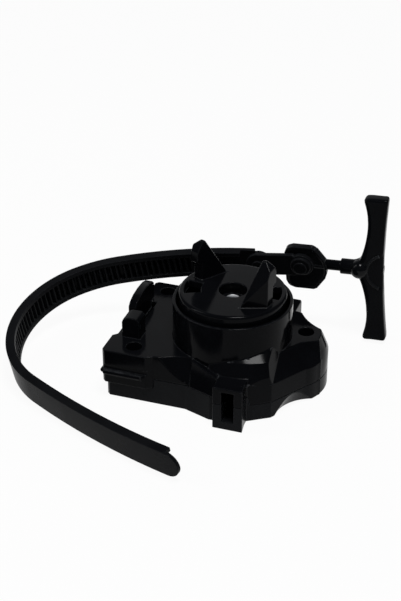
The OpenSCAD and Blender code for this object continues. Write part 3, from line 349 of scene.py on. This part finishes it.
# A copy of a CAD solid with moulded edges in place of its sharp ones
def softEdged(pieceName, plan):
    shape = cadCopy(plan["node"])
    if "corners" in plan:
        cutCorners(shape, plan["corners"])
    if "sunk" in plan:
        sinkFace(shape, plan["sunk"])
    surface = BVHTree.FromBMesh(shape)
    sharpTurn = math.radians(plan["sharp"])
    sharp = [edge for edge in shape.edges if edge.calc_face_angle(0) > sharpTurn]
    bmesh.ops.bevel(
        shape, geom=sharp, offset=plan["edge"], offset_type="OFFSET", segments=plan["steps"],
        profile=0.5, affect="EDGES", clamp_overlap=False, material=-1,
    )
    for corner in shape.verts:  # a corner thrown off a sliver goes back to the solid
        nearest, *_, gap = surface.find_nearest(corner.co)
        if gap > edgeStyle["stray"] * plan["edge"]:
            corner.co = nearest
    bmesh.ops.triangulate(shape, faces=[face for face in shape.faces if len(face.verts) > 4])
    smoothFaces(shape)
    piece = placed(pieceName, shape)
    piece.data.set_sharp_from_angle(angle=math.radians(edgeStyle["crease"]))
    evened = piece.modifiers.new("evenShading", "WEIGHTED_NORMAL")
    evened.keep_sharp = True
    evened.weight = edgeStyle["weight"]
    return piece


# A copy of a CAD solid with every edge rounded over and the bore along its axis closed
def wornRound(pieceName, plan, place):
    shape = cadCopy(plan["node"])
    shape.normal_update()
    back = place.inverted()
    boreFaces = []
    for face in shape.faces:
        out = max(math.hypot(*(back @ corner.co).yz) for corner in face.verts)
        middle = back @ face.calc_center_median()
        turned = place.to_3x3().transposed() @ face.normal
        inward = middle.y * turned.y + middle.z * turned.z < 0
        if out < plan["bore"] and (inward or abs(turned.x) > plan["boreEnd"]):
            boreFaces.append(face)
    bmesh.ops.delete(shape, geom=boreFaces, context="FACES")
    closeHoles(shape)
    piece = placed(pieceName, shape)
    evened = piece.modifiers.new("evenMesh", "REMESH")
    evened.mode = "VOXEL"
    evened.voxel_size = plan["grain"]
    evened.use_smooth_shade = True
    rounded = piece.modifiers.new("roundedOver", "SMOOTH")
    rounded.factor = plan["pull"]
    rounded.iterations = plan["rounds"]
    return piece


# A new round piece from its bmesh, closed and smooth
def smoothPiece(pieceName, shape):
    bmesh.ops.remove_doubles(shape, verts=shape.verts, dist=mergeGap["piece"])
    bmesh.ops.recalc_face_normals(shape, faces=shape.faces)
    smoothFaces(shape)
    return placed(pieceName, shape)


def dressed(item, finish):
    item.data.materials.clear()
    item.data.materials.append(finish)


def fitted(piece, finish, body, slotName, *nodes):
    dressed(piece, finish)
    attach(piece, body)
    if nodes:
        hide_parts(*nodes)
    return piece


# Housing
upperPlan = {"node": "upper_shell", "edge": 0.00035, "steps": 3, "sharp": 24}
upperMoulding = softEdged("upperMoulding", upperPlan)
fitted(upperMoulding, shellBlack, "housing", "black_plastic", "upper_shell")

lowerPlan = {"node": "lower_shell", "edge": 0.0003, "steps": 3, "sharp": 24}
lowerMoulding = softEdged("lowerMoulding", lowerPlan)
# the lower shell's lighter black is partly a painted floor reflection
fitted(lowerMoulding, lowerShellBlackWithFloorSheen, "housing", "black_plastic", "lower_shell")

screwPlan = {"node": "housing_screws", "edge": 0.00012, "steps": 2, "sharp": 28}
shellScrews = softEdged("shellScrews", screwPlan)
fitted(shellScrews, steelFinish, "housing", "steel", "housing_screws")
print("housing made")

# Drum and what turns under it
drumPlan = {"node": "launch_drum", "edge": 0.00045, "steps": 4, "sharp": 24}
drumMoulding = softEdged("drumMoulding", drumPlan)
fitted(drumMoulding, shellBlack, "drum", "black_plastic", "launch_drum")

middleScrewPlan = {"node": "drum_screw", "edge": 0.0003, "steps": 3, "sharp": 28}
middleScrew = softEdged("middleScrew", middleScrewPlan)
fitted(middleScrew, dullSteel, "housing", "steel", "drum_screw")

# Rounded rim of the screw head, the bright ring at the bottom of the well
rimPlan = {
    "radius": 0.0023, "height": 0.0339, "thick": 0.00055, "tall": 2.4, "sides": 14, "steps": 40,
}
rimShape = bmesh.new()
bmesh.ops.create_circle(
    rimShape, cap_ends=False, segments=rimPlan["sides"], radius=rimPlan["thick"],
)
bmesh.ops.scale(rimShape, verts=rimShape.verts, vec=(1, rimPlan["tall"], 1))
upright = Matrix.Rotation(math.pi / 2, 3, "X")
bmesh.ops.rotate(rimShape, verts=rimShape.verts, cent=(0, 0, 0), matrix=upright)
bmesh.ops.translate(
    rimShape, verts=rimShape.verts, vec=(rimPlan["radius"], 0, rimPlan["height"]),
)
spunRound(rimShape, (0, 0, 1), rimPlan["steps"])
screwRim = smoothPiece("screwRim", rimShape)
fitted(screwRim, dullSteel, "housing", "steel")

gearPlan = {"node": "drive_gear", "edge": 0.00008, "steps": 2, "sharp": 28}
gearMoulding = softEdged("gearMoulding", gearPlan)
fitted(gearMoulding, paleFinish, "gear", "pale_plastic", "drive_gear")

clutchPlan = {"node": "clutch_ring", "edge": 0.00012, "steps": 2, "sharp": 28}
clutchMoulding = softEdged("clutchMoulding", clutchPlan)
fitted(clutchMoulding, paleFinish, "clutch", "pale_plastic", "clutch_ring")

# Coil spring over the clutch
coilPlan = {"node": "clutch_spring", "fixedEnd": (0, 0, 0.0234), "keep": 0.78}
coilShape = bmesh.new()
coilShape.from_mesh(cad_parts[coilPlan["node"]].data)
clutchCoil = smoothPiece("clutchCoil", coilShape)
fitted(clutchCoil, steelFinish, "drum", "steel", "clutch_spring")
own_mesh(clutchCoil)

# Steel solids that keep their own shape
for nodeName in ("spindle", "thrust_washer", "drum_washer", "spring_seat", "rod_washer"):
    dressed(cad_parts[nodeName], steelFinish)
print("drum made")

# Toothed strip
stripPlan = {"node": "rack_strip", "edge": 0.00012, "steps": 2, "sharp": 24}
stripMoulding = softEdged("stripMoulding", stripPlan)
fitted(stripMoulding, stripBlack, "strip", "black_plastic", "rack_strip")

rivetPlan = {"node": "strip_rivet", "edge": 0.0002, "steps": 3, "sharp": 28}
stripRivet = softEdged("stripRivet", rivetPlan)
fitted(stripRivet, linkBlack, "strip", "steel", "strip_rivet")
print("strip made")

# Links
tangPlan = {"node": "link_tang", "edge": 0.00025, "steps": 3, "sharp": 24}
tangMoulding = softEdged("tangMoulding", tangPlan)
fitted(tangMoulding, linkBlack, "tang", "black_plastic", "link_tang")

plateFacing = (0.062, -0.977, -0.206)
plateCorners = {
    "through": plateFacing, "aligned": 0.99, "thick": 0.002, "turn": 0.5, "depth": 0.0004,
}
platePanel = {
    "facing": plateFacing, "aligned": 0.995, "slack": 0.00005,
    "rim": 0.0009, "wall": 0.0002, "deep": 0.0005,
}
frontPlatePlan = {
    "node": "link_plate_front", "edge": 0.00025, "steps": 3, "sharp": 24,
    "corners": plateCorners, "sunk": platePanel,
}
frontPlate = softEdged("frontPlate", frontPlatePlan)
fitted(frontPlate, linkBlack, "link", "black_plastic", "link_plate_front")

rearPlatePlan = {
    "node": "link_plate_rear", "edge": 0.0003, "steps": 3, "sharp": 24, "corners": plateCorners,
}
rearPlate = softEdged("rearPlate", rearPlatePlan)
fitted(rearPlate, linkBlack, "link", "black_plastic", "link_plate_rear")

pinPlan = {"node": "link_pin", "edge": 0.0002, "steps": 3, "sharp": 28}
linkPin = softEdged("linkPin", pinPlan)
fitted(linkPin, linkBlack, "link", "steel", "link_pin")

rodPlan = {"node": "swivel_rod", "edge": 0.0002, "steps": 3, "sharp": 28}
swivelRod = softEdged("swivelRod", rodPlan)
fitted(swivelRod, handleBlack, "link", "black_plastic", "swivel_rod")
print("links made")

# The handle's own axes: from the ball along the rod, to the rear and up the bar
handleAxes = {
    "ball": (0.036, 0.044, 0.0307),
    "along": (0.9976, 0.0543, 0.042), "rear": (-0.0538, 0.9985, -0.0118),
}
along, rear = Vector(handleAxes["along"]), Vector(handleAxes["rear"])
handlePlace = Matrix((along, rear, along.cross(rear))).transposed().to_4x4()
handlePlace.translation = handleAxes["ball"]

# Bar, with its hidden bore closed
barPlan = {
    "node": "pull_handle", "bore": 0.0026, "boreEnd": 0.9,
    "grain": 0.0004, "pull": 0.5, "rounds": 44,
}
handleBar = wornRound("handleBar", barPlan, handlePlace)
fitted(handleBar, handleBlack, "handle", "black_plastic", "pull_handle")


def onHandle(pieceName, shape, finish):
    bmesh.ops.transform(shape, matrix=handlePlace, verts=shape.verts)
    return fitted(smoothPiece(pieceName, shape), finish, "handle", "black_plastic")


# Ball at the root of the bar, a little to the front
ballPlan = {"forward": 0.0011, "radius": 0.0037, "around": 40, "rows": 24}
ballShape = bmesh.new()
bmesh.ops.create_uvsphere(
    ballShape, u_segments=ballPlan["around"], v_segments=ballPlan["rows"], radius=ballPlan["radius"],
)
bmesh.ops.translate(ballShape, verts=ballShape.verts, vec=(0, -ballPlan["forward"], 0))
rootBall = onHandle("rootBall", ballShape, ballBlack)

# Sleeve round the rod
sleevePlan = {
    "start": -0.0073, "end": -0.001, "outer": 0.00295, "inner": 0.0024,
    "edge": 0.0003, "edgeSteps": 4, "steps": 44,
}
sleeveShape = bmesh.new()
corners = [
    sleeveShape.verts.new((sleevePlan[place], 0, sleevePlan[wall]))
    for place, wall in (("start", "inner"), ("start", "outer"), ("end", "outer"), ("end", "inner"))
]
for first, second in zip(corners, corners[1:] + corners[:1]):
    sleeveShape.edges.new((first, second))
bmesh.ops.bevel(
    sleeveShape, geom=corners[1:3], offset=sleevePlan["edge"], segments=sleevePlan["edgeSteps"],
    profile=0.5, affect="VERTICES", material=-1,
)
spunRound(sleeveShape, (1, 0, 0), sleevePlan["steps"])
rootSleeve = onHandle("rootSleeve", sleeveShape, handleBlack)

# Raised half rings on both flats of the bar
ringPlan = {
    "middle": 0.01, "radius": 0.0072, "thick": 0.0007, "flat": 0.0025,
    "sweep": 140, "steps": 28, "sides": 12,
}
sweep = math.radians(ringPlan["sweep"])
firstEnd = Matrix.Rotation(-sweep / 2, 3, "Y")
for ringName, side in (("frontRing", -1), ("rearRing", 1)):
    ringShape = bmesh.new()
    bmesh.ops.create_circle(
        ringShape, cap_ends=False, segments=ringPlan["sides"], radius=ringPlan["thick"],
    )
    bmesh.ops.translate(ringShape, verts=ringShape.verts, vec=(-ringPlan["radius"], 0, 0))
    bmesh.ops.rotate(ringShape, verts=ringShape.verts, cent=(0, 0, 0), matrix=firstEnd)
    bmesh.ops.spin(
        ringShape, geom=ringShape.verts[:] + ringShape.edges[:], axis=(0, 1, 0), cent=(0, 0, 0),
        angle=sweep, steps=ringPlan["steps"],
    )
    closeHoles(ringShape)
    onFlat = (ringPlan["middle"], side * ringPlan["flat"], 0)
    bmesh.ops.translate(ringShape, verts=ringShape.verts, vec=onFlat)
    onHandle(ringName, ringShape, linkBlack)

plugPlan = {"node": "handle_plug", "edge": 0.0002, "steps": 2, "sharp": 28}
handlePlug = softEdged("handlePlug", plugPlan)
fitted(handlePlug, handleBlack, "handle", "black_plastic", "handle_plug")
print("handle made")

# Floor: white to the eye and in reflections, with a soft shadow
floorPlan = {"half": 6, "drop": 0.0001, "tone": (0.86, 0.86, 0.86), "whiteShare": 0.94}
floorShape = bmesh.new()
bmesh.ops.create_grid(floorShape, x_segments=1, y_segments=1, size=floorPlan["half"])
bmesh.ops.translate(floorShape, verts=floorShape.verts, vec=(0, 0, -floorPlan["drop"]))
floor = placed("floor", floorShape)
floorMaterial = bpy.data.materials.new("paleFloor")
floorMaterial.use_nodes = True
floorNodes, floorLinks = floorMaterial.node_tree.nodes, floorMaterial.node_tree.links
floorNodes.clear()


def largerOf(first, second):
    node = floorNodes.new("ShaderNodeMath")
    node.operation = "MAXIMUM"
    floorLinks.new(first, node.inputs[0])
    floorLinks.new(second, node.inputs[1])
    return node.outputs["Value"]


rays = floorNodes.new("ShaderNodeLightPath").outputs
seenOrMirrored = largerOf(rays["Is Camera Ray"], rays["Is Glossy Ray"])
whiteShare = floorNodes.new("ShaderNodeMath")
whiteShare.operation = "MULTIPLY"
whiteShare.inputs[1].default_value = floorPlan["whiteShare"]
floorLinks.new(largerOf(seenOrMirrored, rays["Is Transmission Ray"]), whiteShare.inputs[0])
paper = floorNodes.new("ShaderNodeBsdfDiffuse")
paper.inputs["Color"].default_value = (*floorPlan["tone"], 1)
glow = floorNodes.new("ShaderNodeEmission")
blendWhite = floorNodes.new("ShaderNodeMixShader")
floorLinks.new(whiteShare.outputs["Value"], blendWhite.inputs["Fac"])
floorLinks.new(paper.outputs["BSDF"], blendWhite.inputs[1])
floorLinks.new(glow.outputs["Emission"], blendWhite.inputs[2])
floorOut = floorNodes.new("ShaderNodeOutputMaterial")
floorLinks.new(blendWhite.outputs["Shader"], floorOut.inputs["Surface"])
floor.data.materials.append(floorMaterial)
print("floor laid")

# Light: a grey room, a small box above, a strip light to the left and a wide soft box behind
roomPlan = {"tone": (0.1, 0.104, 0.112), "strength": 1.0}
world = bpy.data.worlds.new("greyRoom")
scene.world = world
world.use_nodes = True
room = world.node_tree.nodes["Background"]
room.inputs["Color"].default_value = (*roomPlan["tone"], 1)
room.inputs["Strength"].default_value = roomPlan["strength"]

lampPlan = {
    "topBox": {
        "place": (0.12, -0.16, 0.74), "aim": (0, 0, 0.02), "size": (0.2, 0.16), "power": 3.4,
    },
    "leftStrip": {
        "place": (-0.55, -0.2, 0.5), "aim": (0, 0, 0.03), "size": (0.12, 0.5), "power": 1.2,
    },
    "backBox": {
        "place": (-0.25, 0.73, 0.46), "aim": (0, 0, 0.03), "size": (1.1, 0.6), "power": 1.2,
    },
}
for lampName, plan in lampPlan.items():
    lampData = bpy.data.lights.new(lampName, "AREA")
    lampData.shape = "RECTANGLE"
    lampData.size, lampData.size_y = plan["size"]
    lampData.energy = plan["power"]
    aimed(bpy.data.objects.new(lampName, lampData), plan["place"], plan["aim"])
print("lamps lit")
